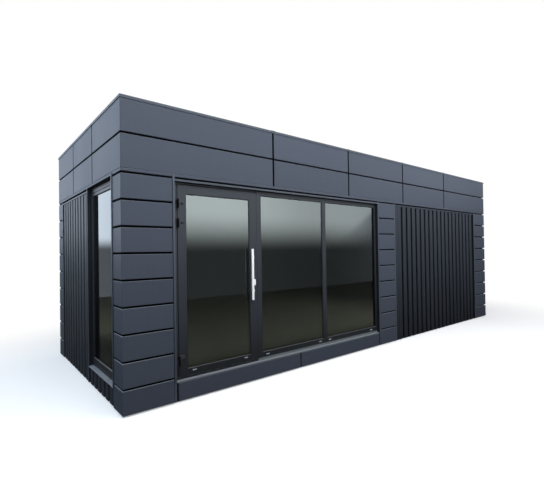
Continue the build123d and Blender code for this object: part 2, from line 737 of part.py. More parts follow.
PIECES = (
    base, shell, columns, fascia, coping, ribs, trims, apron,
    front_frame, side_window, hinges, door_leaf, door_fittings,
)

os.makedirs("parts", exist_ok=True)
for make in PIECES:
    for node, shapes in make().items():
        solids = [solid for shape in shapes for solid in shape.solids()]
        export_step(solids[0] if len(solids) == 1 else Compound(solids), f"parts/{node}.step")
        print(node, len(solids))
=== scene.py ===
# %% [markdown]
# # A clad cabin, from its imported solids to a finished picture
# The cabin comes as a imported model: every rigid piece is already at its true place, in metres, with
# the front towards -Y. This lesson only dresses it. It sets the camera, builds a plain studio, gives
# every piece a finish made of shader nodes, and models the small parts that the solids leave out.

# %% Load the cabin
import json
import math
import random

import bmesh
import bpy
from mathutils import Matrix, Vector


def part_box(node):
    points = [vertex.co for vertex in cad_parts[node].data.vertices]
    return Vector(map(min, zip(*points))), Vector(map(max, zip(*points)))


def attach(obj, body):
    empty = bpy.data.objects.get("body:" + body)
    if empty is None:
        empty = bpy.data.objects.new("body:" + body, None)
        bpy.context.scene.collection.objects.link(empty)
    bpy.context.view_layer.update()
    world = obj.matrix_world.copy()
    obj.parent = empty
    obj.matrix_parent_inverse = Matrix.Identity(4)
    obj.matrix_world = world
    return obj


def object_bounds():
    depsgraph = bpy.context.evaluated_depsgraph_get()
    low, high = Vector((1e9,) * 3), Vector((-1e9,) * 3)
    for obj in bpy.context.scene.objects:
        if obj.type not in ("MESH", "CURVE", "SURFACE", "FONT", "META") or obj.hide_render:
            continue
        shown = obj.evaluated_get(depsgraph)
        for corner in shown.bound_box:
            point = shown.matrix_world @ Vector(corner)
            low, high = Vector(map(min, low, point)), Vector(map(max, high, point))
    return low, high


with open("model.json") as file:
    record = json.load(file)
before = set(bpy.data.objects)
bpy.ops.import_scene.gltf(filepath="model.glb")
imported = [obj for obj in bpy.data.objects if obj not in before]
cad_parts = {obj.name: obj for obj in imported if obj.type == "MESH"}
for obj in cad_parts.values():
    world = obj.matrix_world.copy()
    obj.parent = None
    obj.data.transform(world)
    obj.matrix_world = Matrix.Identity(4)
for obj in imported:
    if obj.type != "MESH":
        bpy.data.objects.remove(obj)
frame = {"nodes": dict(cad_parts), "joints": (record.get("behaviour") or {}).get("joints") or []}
nodes = frame["nodes"]
cad_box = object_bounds()
print("pieces:", len(nodes), "box:", [round(side, 3) for side in cad_box[1] - cad_box[0]])

# %% [markdown]
# ## Camera
# The picture was taken by someone standing off the left front corner, at eye height, with a wide lens.
# A camera can be aimed with a Track To constraint, but that can't roll it. Three axes written out as the
# columns of a matrix can, and the slight roll matters: without it the roof line leans the wrong way.

# %% Camera
FOCAL_PIXELS, PICTURE_WIDTH = 376.7036, 544
eye = Vector((-5.08348, -5.04423, 1.51058))
yaw, pitch, roll = (math.radians(angle) for angle in (39.08535, 0.65964, -0.86546))
forward = Vector((math.sin(yaw) * math.cos(pitch), math.cos(yaw) * math.cos(pitch), math.sin(pitch)))
level = Vector((math.cos(yaw), -math.sin(yaw), 0))
right = level * math.cos(roll) + level.cross(forward) * math.sin(roll)
upward = right.cross(forward)
camera = bpy.data.objects.new("camera", bpy.data.cameras.new("camera"))
camera.matrix_world = Matrix.Translation(eye) @ Matrix((right, upward, -forward)).transposed().to_4x4()
camera.data.sensor_width = 36
camera.data.lens = FOCAL_PIXELS / PICTURE_WIDTH * camera.data.sensor_width
scene = bpy.context.scene
scene.collection.objects.link(camera)
scene.camera = camera
scene.view_settings.view_transform = "Standard"
print("lens:", round(camera.data.lens, 2), "mm")

# %% [markdown]
# ## Shader maths as plain sums
# A finish is a tree of nodes, and wiring one by hand takes a line for every node and link. One small class
# wraps a socket, so that `1 - mask` or `cloud * 0.3` adds its own Math node. Its `add` method makes any
# other node: the settings first, because they change which sockets there are, and then the sockets.

# %% Sockets that can be added and multiplied
class Value:
    """One socket of a shader tree. Sums and products of values add Math nodes to that tree."""

    def __init__(self, tree, socket=None):
        self.tree = tree
        self.socket = socket

    def add(self, kind, settings=None, sockets=None, output=0):
        """Adds a node, sets it up, feeds its sockets and returns one of its outputs."""
        node = self.tree.nodes.new(kind)
        for name, setting in (settings or {}).items():
            setattr(node, name, setting)
        for name, fed in (sockets or {}).items():
            if isinstance(fed, Value):
                self.tree.links.new(fed.socket, node.inputs[name])
            else:
                node.inputs[name].default_value = fed
        return Value(self.tree, node.outputs[output])

    def maths(self, operation, *others):
        return self.add("ShaderNodeMath", {"operation": operation}, dict(enumerate((self,) + others)))

    def __add__(self, other):
        return self.maths("ADD", other)

    def __sub__(self, other):
        return self.maths("SUBTRACT", other)

    def __rsub__(self, other):
        return self.maths("MULTIPLY_ADD", -1.0, other)

    def __mul__(self, other):
        return self.maths("MULTIPLY", other)

    def __truediv__(self, other):
        return self.maths("DIVIDE", other)

    __radd__ = __add__
    __rmul__ = __mul__


class Finish:
    """A material with one Principled shader, and where a point lies as its starting value."""

    def __init__(self, name):
        self.material = bpy.data.materials.new(name)
        self.material.use_nodes = True
        self.tree = self.material.node_tree
        self.shader = self.tree.nodes["Principled BSDF"]
        self.place = Value(self.tree).add("ShaderNodeTexCoord", output="Object")

    def feed(self, **sockets):
        """Sets or links sockets of the shader; Base_Color stands for Base Color."""
        for name, fed in sockets.items():
            socket = self.shader.inputs[name.replace("_", " ")]
            if isinstance(fed, Value):
                self.tree.links.new(fed.socket, socket)
            else:
                socket.default_value = fed
        return self

    def dress(self, *names):
        """Puts the finish on every material slot of the named nodes."""
        for name in names:
            for slot in nodes[name].material_slots:
                slot.material = self.material


print("inputs of a shader:", len(Finish("trial").shader.inputs))
bpy.data.materials.remove(bpy.data.materials["trial"])

# %% [markdown]
# A few helpers give the sums names: a noise, a soft step between two limits, a mix of two colours, and a
# bump. Colours are written as the eye reads them on a screen, and `tint` turns them into the linear
# numbers that a shader works in.

# %% Helpers for finishes
def tint(red, green, blue):
    """A screen colour of 0 to 255 as linear RGBA."""
    parts = [channel / 255 for channel in (red, green, blue)]
    return tuple(c / 12.92 if c < 0.04045 else ((c + 0.055) / 1.055) ** 2.4 for c in parts) + (1.0,)


def axes(place):
    """The three parts of a vector."""
    split = place.add("ShaderNodeSeparateXYZ", sockets={0: place}).socket.node
    return [Value(place.tree, output) for output in split.outputs]


def vector(x, y, z):
    """A vector of three parts, at least the first of which is a value."""
    return x.add("ShaderNodeCombineXYZ", sockets={0: x, 1: y, 2: z})


def stretched(place, x, y, z):
    """A place scaled along each axis, which draws a pattern out along the smallest one."""
    return place.add("ShaderNodeVectorMath", {"operation": "MULTIPLY"}, {0: place, 1: (x, y, z)})


def noise(place, scale, detail=2.0, roughness=0.5):
    sockets = {"Vector": place, "Scale": scale, "Detail": detail, "Roughness": roughness}
    return place.add("ShaderNodeTexNoise", {"noise_dimensions": "3D"}, sockets)


def chance(cell):
    """One random number for each whole-numbered cell."""
    return cell.add("ShaderNodeTexWhiteNoise", {"noise_dimensions": "3D"}, {"Vector": cell})


def fade(value, low, high, first=0.0, last=1.0):
    """A soft step from first at low to last at high."""
    settings = {"interpolation_type": "SMOOTHSTEP", "clamp": True}
    return value.add("ShaderNodeMapRange", settings, {0: value, 1: low, 2: high, 3: first, 4: last})


def mix(share, first, second):
    """A colour between two others."""
    settings = {"data_type": "RGBA", "clamp_factor": True}
    return share.add("ShaderNodeMix", settings, {0: share, 6: first, 7: second}, output=2)


def bump(height, distance, strength=1.0, under=None):
    """A normal bent by a height; under is a coarser bump that it lies on."""
    sockets = {"Height": height, "Distance": distance, "Strength": strength}
    if under:
        sockets["Normal"] = under
    return height.add("ShaderNodeBump", None, sockets)


print("anthracite in linear numbers:", [round(part, 3) for part in tint(57, 62, 72)[:3]])

# %% [markdown]
# ## Studio
# The cabin stands on a pale floor under soft light, as a product is photographed. The floor near the cabin
# keeps its shadow; further out it fades into plain white for the camera, and so do mirror and glass
# rays, so that no horizon shows. The world is white for those rays and a gentle fill for all others.

# %% Floor and world
def light_path(start, *rays):
    """One where a ray is of one of the named kinds."""
    path = start.add("ShaderNodeLightPath").socket.node
    seen = Value(start.tree, path.outputs[rays[0]])
    for ray in rays[1:]:
        seen = seen.maths("MAXIMUM", Value(start.tree, path.outputs[ray]))
    return seen


SHOWN_RAYS = ("Is Camera Ray", "Is Glossy Ray", "Is Transmission Ray")
WHITE, FILL = (1, 1, 1, 1), (0.095, 0.107, 0.130, 1)
floor_mesh = bmesh.new()
bmesh.ops.create_circle(floor_mesh, cap_ends=True, segments=96, radius=60)
floor = bpy.data.objects.new("studio_floor", bpy.data.meshes.new("studio_floor"))
floor_mesh.to_mesh(floor.data)
floor_mesh.free()
scene.collection.objects.link(floor)

paper = Finish("studio_paper")
x, y, z = axes(paper.place)
far = fade((x * x * 0.5 + y * y).maths("SQRT"), 2.8, 5.2)
shown = light_path(far, *SHOWN_RAYS)
paper.feed(
    Base_Color=mix(shown, tint(60, 60, 62), tint(240, 240, 240)), Roughness=0.9, Specular_IOR_Level=0.0)
glow = far.add("ShaderNodeEmission", None, {"Color": WHITE, "Strength": 1.0})
lit = Value(paper.tree, paper.shader.outputs[0])
share = (0.3 + far * 0.7) * shown
blend = far.add("ShaderNodeMixShader", None, {0: share, 1: lit, 2: glow})
paper.tree.links.new(blend.socket, paper.tree.nodes["Material Output"].inputs["Surface"])
floor.data.materials.append(paper.material)

world = bpy.data.worlds.new("studio_white")
world.use_nodes = True
scene.world = world
sky = Value(world.node_tree)
shown = light_path(sky, *SHOWN_RAYS)
background = world.node_tree.nodes["Background"]
fill = mix(shown, FILL, WHITE)
world.node_tree.links.new(fill.socket, background.inputs["Color"])
background.inputs["Strength"].default_value = 1.0
print("floor and world are white to", len(SHOWN_RAYS), "kinds of ray")

# %% [markdown]
# Three softboxes do the lighting: a long one high in front, a bluer one off the gable, which is the brighter
# side, and a wide one overhead. Area lamps give shadows a soft edge for free. Mirror rays don't see them,
# because the bright oblongs would show in the glass.

# %% Softboxes
def softbox(name, place, target, width, height, watts, colour):
    lamp = bpy.data.lights.new(name, "AREA")
    lamp.shape = "RECTANGLE"
    lamp.size = width
    lamp.size_y = height
    lamp.energy = watts
    lamp.color = colour
    box = bpy.data.objects.new(name, lamp)
    away = Vector(target) - Vector(place)
    box.matrix_world = Matrix.Translation(place) @ away.to_track_quat("-Z", "Y").to_matrix().to_4x4()
    box.visible_camera = box.visible_glossy = False
    scene.collection.objects.link(box)
    return box


softboxes = [
    softbox("front_softbox", (-1.2, -4.7, 5.0), (-1.2, -1.4, 2.5), 10.5, 1.6, 650, (0.94, 0.96, 1.0)),
    softbox("gable_softbox", (-7.0, 0.2, 5.0), (-3.9, 0.2, 2.6), 6.0, 1.6, 270, (0.64, 0.82, 1.0)),
    softbox("top_softbox", (0.0, 0.5, 11.0), (0.0, 0.0, 0.0), 12.0, 8.0, 500, (1.0, 1.0, 1.0)),
]
print("softboxes:", [round(box.data.energy) for box in softboxes])

# %% [markdown]
# Glass and satin sheet need something to mirror, and in an all-white room glass turns grey. So the studio
# is hung with a dark curtain under a band of light. Behind the cabin the curtain is low and a pale blue
# backdrop rises over it like an open sky; to the right the backdrop starts higher up. An olive cloth lies
# round the cabin, as photographers do with flags. Only mirror rays see them. A cube without its lid is the
# whole shape: its glow depends on the height on the walls, and on the distance from the cabin on the floor.

# %% Curtain, band of light and cloth
FLAGS_HALF, FLAGS_LIFT = (14.0, 9.0, 4.5), 4.502
flags_mesh = bmesh.new()
bmesh.ops.create_cube(flags_mesh, size=2.0)
bmesh.ops.scale(flags_mesh, verts=flags_mesh.verts[:], vec=FLAGS_HALF)
bmesh.ops.translate(flags_mesh, verts=flags_mesh.verts[:], vec=(0, 0, FLAGS_LIFT))
lid = [face for face in flags_mesh.faces if face.normal.z > 0.5]
bmesh.ops.delete(flags_mesh, geom=lid, context="FACES_ONLY")
flags = bpy.data.objects.new("studio_flags", bpy.data.meshes.new("studio_flags"))
flags_mesh.to_mesh(flags.data)
flags_mesh.free()
scene.collection.objects.link(flags)
cloth = Finish("studio_flags")
BAND_GLOW, BAND_HUE = 4.5, (0.90, 0.96, 1.0, 1)
SKY_GLOW, SKY_HUE = 2.5, (0.76, 0.86, 1.0, 1)
CLOTH_GLOW, CLOTH_HUE = 0.35, (1.0, 0.98, 0.76, 1)
x, y, z = axes(cloth.place)
band = fade(z, 1.5, 3.0, 0.17, BAND_GLOW) * fade(z, 3.5, 4.7, 1.0, 0.10) * fade(x, 1.5, 7.0, 1.3, 0.75)
sideways = fade(x, 7.0, 12.5)
open_sky = fade(z - sideways * 2.2, 1.65, 2.15, 0.28, SKY_GLOW)
unlit = sideways.maths("MAXIMUM", fade(y, 4.0, 8.5))
away = (x.maths("ABSOLUTE") - cad_box[1].x).maths("MAXIMUM", y.maths("ABSOLUTE") - cad_box[1].y)
# Painted shadow: the cloth glows dimmer within about a metre of the cabin, a contact shadow in what low faces
# mirror.
carpet = fade(away, 0.4, 1.4, 0.12, 1.0) * fade(away, 0.3, 6.5, CLOTH_GLOW, 0.10)
carpet = carpet * fade(x, -4.6, -3.9, 0.35, 1.0) * fade(x, 2.0, 5.0, 1.0, 0.3)
lying = fade(z, 0.004, 0.02, 1.0, 0.0)
strength = carpet * lying + (band * (1 - unlit) + open_sky * unlit) * (1 - lying)
hue = mix(lying, mix(unlit, BAND_HUE, SKY_HUE), CLOTH_HUE)
gleam = band.add("ShaderNodeEmission", None, {"Color": hue, "Strength": strength})
cloth.tree.links.new(gleam.socket, cloth.tree.nodes["Material Output"].inputs["Surface"])
flags.data.materials.append(cloth.material)
flags.visible_camera = flags.visible_diffuse = flags.visible_transmission = flags.visible_shadow = False
print("flags:", len(flags.data.polygons), "faces")

# %% [markdown]
# ## Coated sheet
# Most of what shows is one finish: steel sheet with a satin anthracite powder coat. It isn't one flat
# grey. Each cassette comes off the line a shade apart, long clouds and rain streaks lie on it, it is duller
# where dust settles, and thin sheet never lies quite flat. Every fold and ledge that looks up is painted
# paler, partly with dust and partly with a painted highlight for the sky above, which draws a light line
# along the top of each piece; the normal tells where. One function gives the family its traits, and each
# member says how its pieces are told apart. The folds in the fascia's upright joints are painted matt black
# as shade, the frames are painted darker towards their foot as a painted reflection of dark ground, and the
# trims are painted dark where they turn in, as shade in the reveals. Over the rib sheets the level trims are
# darker than over the glass.

# %% Powder coat
RIB_SET = 0.008
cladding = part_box("front_pier_cassettes")
front_face = cladding[0].y
gable_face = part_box("left_rib_sheet")[0].x - RIB_SET


def inward(place):
    """How far a point lies in from the nearest face of the cladding."""
    x, y, z = axes(place)
    across = -gable_face - x.maths("ABSOLUTE")
    along = -front_face - y.maths("ABSOLUTE")
    return across.maths("MINIMUM", along)


def looking_up(start):
    """One on faces that look up at the sky, nothing on upright ones."""
    return fade(axes(start.add("ShaderNodeNewGeometry", output="True Normal"))[2], 0.3, 0.95)


def turned_in(start):
    """One where a trim has turned in behind the face of the cladding."""
    return fade(inward(start), 0.003, 0.010)


DUST_AND_SKY_HIGHLIGHT = tint(122, 126, 130)
SHEEN = 0.22


def powder_coat(name, colour, patch=None, spread=0.12, roughness=0.50, sheen=SHEEN, pale_up_faces=1.0):
    """Satin coat; patch tells one sheet from the next, pale_up_faces is how much dust and painted highlight
    its ledges get.
    """
    finish = Finish(name)
    place = finish.place
    x, y, z = axes(place)
    cloud = noise(place, 0.9, 3.0)
    streak = noise(stretched(place, 26.0, 26.0, 0.9), 1.0, 3.0, 0.6)
    speck = noise(place, 420.0, 1.0)
    tone = 1.0 + (cloud - 0.5) * (spread * 1.6) + (streak - 0.5) * spread
    if patch:
        tone = tone + (chance(patch(x, y, z)) - 0.5) * spread
    shade = [channel * 0.72 for channel in colour[:3]] + [1.0]
    glow = [channel * 1.28 for channel in colour[:3]] + [1.0]
    # Painted highlight and dust: faces that look up are mixed towards a pale grey.
    ledge_dust_and_highlight = looking_up(place) * (0.35 + noise(place, 30.0, 3.0) * 0.4) * pale_up_faces
    finish.colour = mix(ledge_dust_and_highlight, mix((tone - 0.72) / 0.56, shade, glow), DUST_AND_SKY_HIGHLIGHT)
    settled = fade(z, 0.0, 0.55, 1.0, 0.0) * fade(noise(place, 5.0, 4.0), 0.35, 0.75)
    dull = roughness + (cloud - 0.5) * 0.10 + (streak - 0.5) * 0.08 + settled * 0.12
    sway = bump(noise(place, 1.7, 1.0), 0.012, 0.35)
    finish.feed(
        Base_Color=finish.colour, Roughness=dull, Specular_IOR_Level=sheen,
        Normal=bump(speck, 0.00006, 0.6, sway))
    return finish


def column_cell(x, y, z):
    """Corner columns and pier: one cell for each column and row."""
    return vector((x / 4.0).maths("ROUND"), (y / 1.4).maths("ROUND"), (z / row_pitch).maths("FLOOR"))


def fascia_cell(x, y, z):
    """Fascia: three middle panels on a long side, one on a short side, folded ones at the corners."""
    across = (x / fascia_pitch).maths("ROUND").maths("MINIMUM", 2.0).maths("MAXIMUM", -2.0)
    along = (y / (2 * GABLE_JOINT)).maths("ROUND").maths("MINIMUM", 1.0).maths("MAXIMUM", -1.0)
    return vector(across, along, ((z - drip_top) / FASCIA_ROW).maths("FLOOR"))


ROWS, ROW_JOINT = 9, 0.010
row_pitch = (cladding[1].z + ROW_JOINT) / ROWS
drip_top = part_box("fascia_drip_rails")[1].z
FASCIA_RUN = 4.286
fascia_pitch = FASCIA_RUN / 3
GABLE_JOINT = 0.475
FASCIA_ROW = 0.362
JOINT_EDGE = (0.012, 0.015)
ANTHRACITE, FRAME_GREY = tint(57, 62, 72), tint(36, 39, 45)
TRIM_GREY, TRIM_SHADE = tint(62, 67, 75), tint(20, 23, 29)
columns = powder_coat("cassette_coat", ANTHRACITE, column_cell)
columns.dress(
    "front_left_corner_cassettes", "front_right_corner_cassettes", "back_left_corner_cassettes",
    "back_right_corner_cassettes", "front_pier_cassettes", "front_plinth_cassettes")
fascia = powder_coat("fascia_coat", ANTHRACITE, fascia_cell)
x, y, z = axes(fascia.place)
off_joint = (y.maths("ABSOLUTE") - GABLE_JOINT).maths("ABSOLUTE")
for joint in (fascia_pitch / 2, fascia_pitch * 1.5):
    off_joint = off_joint.maths("MINIMUM", (x.maths("ABSOLUTE") - joint).maths("ABSOLUTE"))
# Painted shade: the folds in the upright joints, and a few millimetres of face beside them, are painted near
# black and matt.
joint_shade = fade(off_joint, *JOINT_EDGE, 0.96, 0.0) * fade(z - drip_top, 0.0, 0.002)
fascia.feed(
    Base_Color=mix(joint_shade, fascia.colour, tint(16, 18, 22)), Specular_IOR_Level=(1 - joint_shade) * SHEEN)
fascia.dress("fascia_corner_cassettes", "fascia_panels", "fascia_drip_rails")
trim = powder_coat("trim_coat", TRIM_GREY, roughness=0.46)
# Painted shade: where a trim turns in behind the cladding it is painted darker, for the shade in the reveal.
trim.feed(Base_Color=mix(turned_in(trim.place), trim.colour, TRIM_SHADE))
trim.dress("edge_trims", "roof_coping")
heads = powder_coat("head_trim_coat", TRIM_GREY, roughness=0.46)
x, y, z = axes(heads.place)
over_glass = fade(y - front_face, 0.2, 0.3, 1.0, 0.0) * fade(x - cladding[0].x, 0.0, 0.02, 1.0, 0.0)
head_colour = mix((1 - over_glass) * 0.85, heads.colour, tint(38, 43, 50))
# Painted shade here too: head trims are painted darker where they turn in.
heads.feed(Base_Color=mix(turned_in(heads.place), head_colour, TRIM_SHADE))
heads.dress("head_trims")
sill = powder_coat("sill_coat", tint(78, 82, 87), roughness=0.42)
off_groove = (axes(sill.place)[1] - front_face - 0.006).maths("ABSOLUTE")
sill.feed(Base_Color=mix(fade(off_groove, 0.004, 0.008, 0.65, 0.0), sill.colour, tint(36, 38, 42)))
sill.dress("front_sill", "window_sill")
frame_coat = powder_coat("frame_coat", FRAME_GREY, roughness=0.42, sheen=0.28, pale_up_faces=0.1)
# Painted reflection: the frames are painted darker towards their foot, for the dark ground they mirror.
foot_reflection_shade = fade(axes(frame_coat.place)[2], 0.20, 0.90, 0.65, 0.0)
frame_coat.feed(Base_Color=mix(foot_reflection_shade, frame_coat.colour, tint(9, 10, 12)))
frame_coat.dress(
    "front_frame_posts", "front_frame_heads", "front_frame_bottoms", "window_posts", "window_rails",
    "door_stiles", "door_rails")
bead_coat = powder_coat("bead_coat", FRAME_GREY, roughness=0.42, sheen=0.28)
print("row pitch:", round(row_pitch, 4), "drip rail top:", round(drip_top, 4))

# %% [markdown]
# The box-rib sheets wear the same coat, but their valleys are painted nearly black, painted shade for a
# narrow valley that light hardly gets into. Depth behind the face tells rib from valley, on every side alike.
# On the two short sides the valleys are painted a lighter grey than the ribs, painted light against the shade
# of their depth. On the long sides the ribs are painted darker towards the ground, as painted shade.

# %% Ribs
VALLEY_DEPTH, SHORT_SHEET = (0.010, 0.022), (3.90, 3.92)
ribs = powder_coat("rib_coat", tint(31, 36, 43), spread=0.20)
# Painted shade in the valleys: near black on the long sides; on the short sides a lighter grey, as painted
# light.
valley = fade(inward(ribs.place), *VALLEY_DEPTH)
on_short_sheet = fade(axes(ribs.place)[0].maths("ABSOLUTE"), *SHORT_SHEET)
# Painted shade: rib faces on the long sides are painted darker towards the ground.
rib_foot_shade = fade(axes(ribs.place)[2], 0.05, 1.30, 0.60, 0.0) * (1 - on_short_sheet)
rib_face = mix(rib_foot_shade, ribs.colour, tint(9, 10, 14))
ribs.feed(Base_Color=mix(valley, rib_face, mix(on_short_sheet, tint(6, 6, 8), tint(44, 46, 49))))
ribs.dress("front_rib_sheet", "left_rib_sheet", "window_apron_sheet", "right_rib_sheet", "back_rib_sheet")
print("ribs:", ribs.material.name)

# %% [markdown]
# ## Walls and ceiling
# Behind the open joints the walls wear a black breather sheet, and inside they are lined with white boards
# that butt together every 1.2 m. The same solid has both faces, so depth behind the cladding tells
# them apart. Board joints could be cut into the mesh; a Ping-Pong node gives the distance to the nearest
# joint, and that is enough for a thin dark line and a dent.

# %% Walls
def joints(along, pitch, half_width):
    """One on the joints of a pattern that repeats every pitch, nothing elsewhere."""
    return fade(along.maths("PINGPONG", pitch / 2), half_width, half_width * 2, 1.0, 0.0)


LINING_BOARD, LINING_DEPTH, SHORT_WALL = 1.2, (0.120, 0.126), (3.796, 3.799)
wall = Finish("wall_lining")
x, y, z = axes(wall.place)
lining = fade(inward(wall.place), *LINING_DEPTH)
short_side = fade(x.maths("ABSOLUTE"), *SHORT_WALL)
run = x * (1 - short_side) + y * short_side
seam = joints(run, LINING_BOARD, 0.0012)
grime = noise(wall.place, 2.2, 4.0)
white = mix(grime, tint(216, 216, 212), tint(230, 230, 227))
breather = mix(noise(stretched(wall.place, 9.0, 9.0, 2.0), 1.0, 3.0), tint(4, 4, 5), tint(10, 10, 11))
wall.feed(
    Base_Color=mix(lining, breather, mix(seam * 0.6, white, tint(120, 120, 118))),
    Roughness=0.62 + (grime - 0.5) * 0.2 + (1 - lining) * 0.15, Specular_IOR_Level=0.25,
    Normal=bump(1 - seam, 0.0015, 0.8, bump(noise(wall.place, 90.0, 3.0), 0.0003, 0.3)))
wall.dress(*[name for name in nodes if "_wall" in name])
print("walls:", sum("_wall" in name for name in nodes))

# %% [markdown]
# The ceiling is the underside of the roof deck: narrow white boards with a V-groove between them. The edges
# of the roof behind the fascia are black like the walls, or its open joints would show white lines.

# %% Ceiling boards
ROOM_WIDTH, CEILING_BOARD = 2.6, 0.120
ceiling = Finish("ceiling_boards")
y = axes(ceiling.place)[1]
groove = joints(y, CEILING_BOARD, 0.0022)
board = chance(vector((y / CEILING_BOARD).maths("FLOOR"), 0.0, 0.0))
paint = mix(board * 0.6 + noise(ceiling.place, 3.0, 3.0) * 0.4, tint(212, 212, 207), tint(228, 228, 224))
indoors = fade(inward(ceiling.place), 0.100, 0.120)
ceiling.feed(
    Base_Color=mix(indoors, tint(8, 8, 9), mix(groove * 0.55, paint, tint(96, 96, 94))),
    Roughness=0.5 + noise(ceiling.place, 14.0) * 0.2,
    Normal=bump(1 - groove, 0.003, 0.8))
ceiling.dress("roof_deck", "roof_upstands")
print("ceiling boards across the room:", round(ROOM_WIDTH / CEILING_BOARD))

# %% [markdown]
# ## Floor boards
# Long planks run the length of the room. Each one needs its own shade and its own grain, and end joints that
# don't line up. Plank number and a random shift along the length give both, with no geometry at all.

# %% Floor boards
boards = Finish("floor_boards")
x, y, z = axes(boards.place)
PLANK_WIDTH, PLANK_LENGTH = 0.190, 2.2
row = (y / PLANK_WIDTH).maths("FLOOR")
along = x + chance(vector(row, 3.0, 7.0)) * PLANK_LENGTH
plank = vector(row, (along / PLANK_LENGTH).maths("FLOOR"), 0.0)
shade = chance(plank)
shifted = vector(along, y, shade * 40.0)
grain = noise(stretched(shifted, 3.0, 60.0, 1.0), 1.0, 4.0, 0.6)
figure = noise(stretched(shifted, 0.9, 9.0, 1.0), 1.0, 3.0)
oak = mix(shade * 0.5 + figure * 0.5, tint(150, 122, 90), tint(187, 160, 124))
edge = joints(y, PLANK_WIDTH, 0.0010).maths("MAXIMUM", joints(along, PLANK_LENGTH, 0.0008))
boards.feed(
    Base_Color=mix(edge * 0.75, mix(fade(grain, 0.5, 0.72) * 0.45, oak, tint(112, 86, 58)), tint(52, 40, 28)),
    Roughness=0.40 + grain * 0.18, Specular_IOR_Level=0.4,
    Normal=bump(grain, 0.0004, 0.4, bump(1 - edge, 0.0012, 0.7)))
boards.dress("floor_deck")
print("planks across the room:", round(ROOM_WIDTH / PLANK_WIDTH, 1))

# %% [markdown]
# ## Roof membrane and base
# The flat roof is a grey sheet membrane with fine grit, clouds of dust, faint tide marks where water stood in
# the shallow parts, and dark lines along the welds of its sheets. The base frame is black-painted steel,
# chipped to rust.

# %% Roof membrane and base steel
felt = Finish("roof_membrane")
grit = noise(felt.place, 260.0, 2.0)
pool = noise(felt.place, 0.8, 2.0)
damp = fade(pool, 0.50, 0.62)
tide = fade((pool - 0.56).maths("ABSOLUTE"), 0.002, 0.012, 1.0, 0.0)
LAP_PITCH, LAP_WIDTH = 1.0, 0.08
off_lap = axes(felt.place)[0].maths("PINGPONG", LAP_PITCH / 2)
weld = fade((off_lap - LAP_WIDTH / 2).maths("ABSOLUTE"), 0.003, 0.008, 1.0, 0.0)
dry = mix(noise(felt.place, 6.0, 4.0), tint(74, 77, 80), tint(90, 92, 93))
washed_felt = mix(tide * 0.12, mix(damp * 0.3, dry, tint(60, 62, 65)), tint(128, 126, 120))
felt.feed(
    Base_Color=mix(weld * 0.6, washed_felt, tint(44, 46, 49)),
    Roughness=0.85 - damp * 0.2 + (grit - 0.5) * 0.1, Specular_IOR_Level=0.3,
    Normal=bump(grit, 0.0008, 0.5, bump(noise(felt.place, 2.5, 2.0), 0.006, 0.3)))
felt.dress("roof_membrane")

base = Finish("base_steel")
chip = fade(noise(base.place, 22.0, 5.0, 0.65), 0.63, 0.68)
rust = mix(noise(base.place, 120.0, 3.0), tint(74, 44, 28), tint(120, 70, 38))
paint = mix(noise(base.place, 4.0, 3.0), tint(24, 25, 27), tint(38, 39, 42))
base.feed(
    Base_Color=mix(chip, paint, rust), Roughness=0.42 + chip * 0.4 + noise(base.place, 8.0) * 0.1,
    Normal=bump(1 - chip, 0.0006, 0.5))
base.dress("base_side_beams", "base_cross_beams")
print("chipped paint on", len(base.tree.nodes), "shader nodes")

# %% [markdown]
# ## Glass
# The sealed units are solar glass: dark from outside, with a strong, faintly green reflection. A thin shell
# would need the ray to know which side it is on; the panes are solid, so plain transmission with a dark
# tint does it. Toughened sheets are never quite flat, and dust gathers along the foot of a pane.

# %% Solar glass
glass = Finish("solar_glass")
z = axes(glass.place)[2]
film = noise(stretched(glass.place, 6.0, 6.0, 1.0), 1.0, 4.0)
dust = fade(z, 0.28, 0.50, 1.0, 0.0) * fade(film, 0.4, 0.7)
glass.feed(
    Base_Color=mix(film, (0.055, 0.065, 0.062, 1), (0.075, 0.085, 0.083, 1)),
    Roughness=dust * 0.05, IOR=1.75, Transmission_Weight=1.0, Specular_Tint=(0.93, 1.0, 0.96, 1),
    Normal=bump(noise(glass.place, 1.1, 1.0), 0.004, 0.12))
glass.dress("front_fixed_panes", "window_pane", "door_glass")
print("glass nodes:", len(glass.tree.nodes))

# %% [markdown]
# ## Steel and hinges
# The pull handles and lock plates are stainless steel, brushed lengthwise: a noise drawn out along the bar
# varies the roughness and dents the surface very slightly. On the hinges, the flaps are painted with
# the leaf and only the barrel is black, and the distance from the pin tells the two apart.

# %% Brushed steel
steel = Finish("brushed_steel")
brush = noise(stretched(steel.place, 900.0, 900.0, 12.0), 1.0, 2.0)
smudge = noise(steel.place, 14.0, 3.0)
steel.feed(
    Base_Color=mix(smudge, tint(240, 240, 239), tint(252, 252, 251)), Metallic=0.3,
    Roughness=0.34 + (brush - 0.5) * 0.16 + smudge * 0.06, Normal=bump(brush, 0.00004, 0.5))
steel.dress("door_pull_handles", "door_lock_plates")
print("brushed steel nodes:", len(steel.tree.nodes))

# %% Hinges
BARREL_EDGE = (0.0115, 0.0125)
pin_x, pin_y = frame["joints"][0]["pos_m"][:2]
barrel = powder_coat("hinge_coat", tint(46, 48, 54))
x, y, z = axes(barrel.place)
flap = fade(((x - pin_x) * (x - pin_x) + (y - pin_y) * (y - pin_y)).maths("SQRT"), *BARREL_EDGE)
barrel.feed(Base_Color=mix(flap, tint(2, 2, 3), barrel.colour), Roughness=0.95 - flap * 0.5)
barrel.dress("frame_hinge_halves", "door_hinge_halves")
print("hinge pin at:", round(pin_x, 3), round(pin_y, 3))

# %% [markdown]
# ## Small parts
# What the solids leave out are the small parts: gaskets, beads, caps, plugs and screws. All of them are drawn
# flat, as if on paper, and then put on a wall by a matrix: x to the right, y up, z out of the wall. A
# shape that is needed many times is drawn once and stamped.

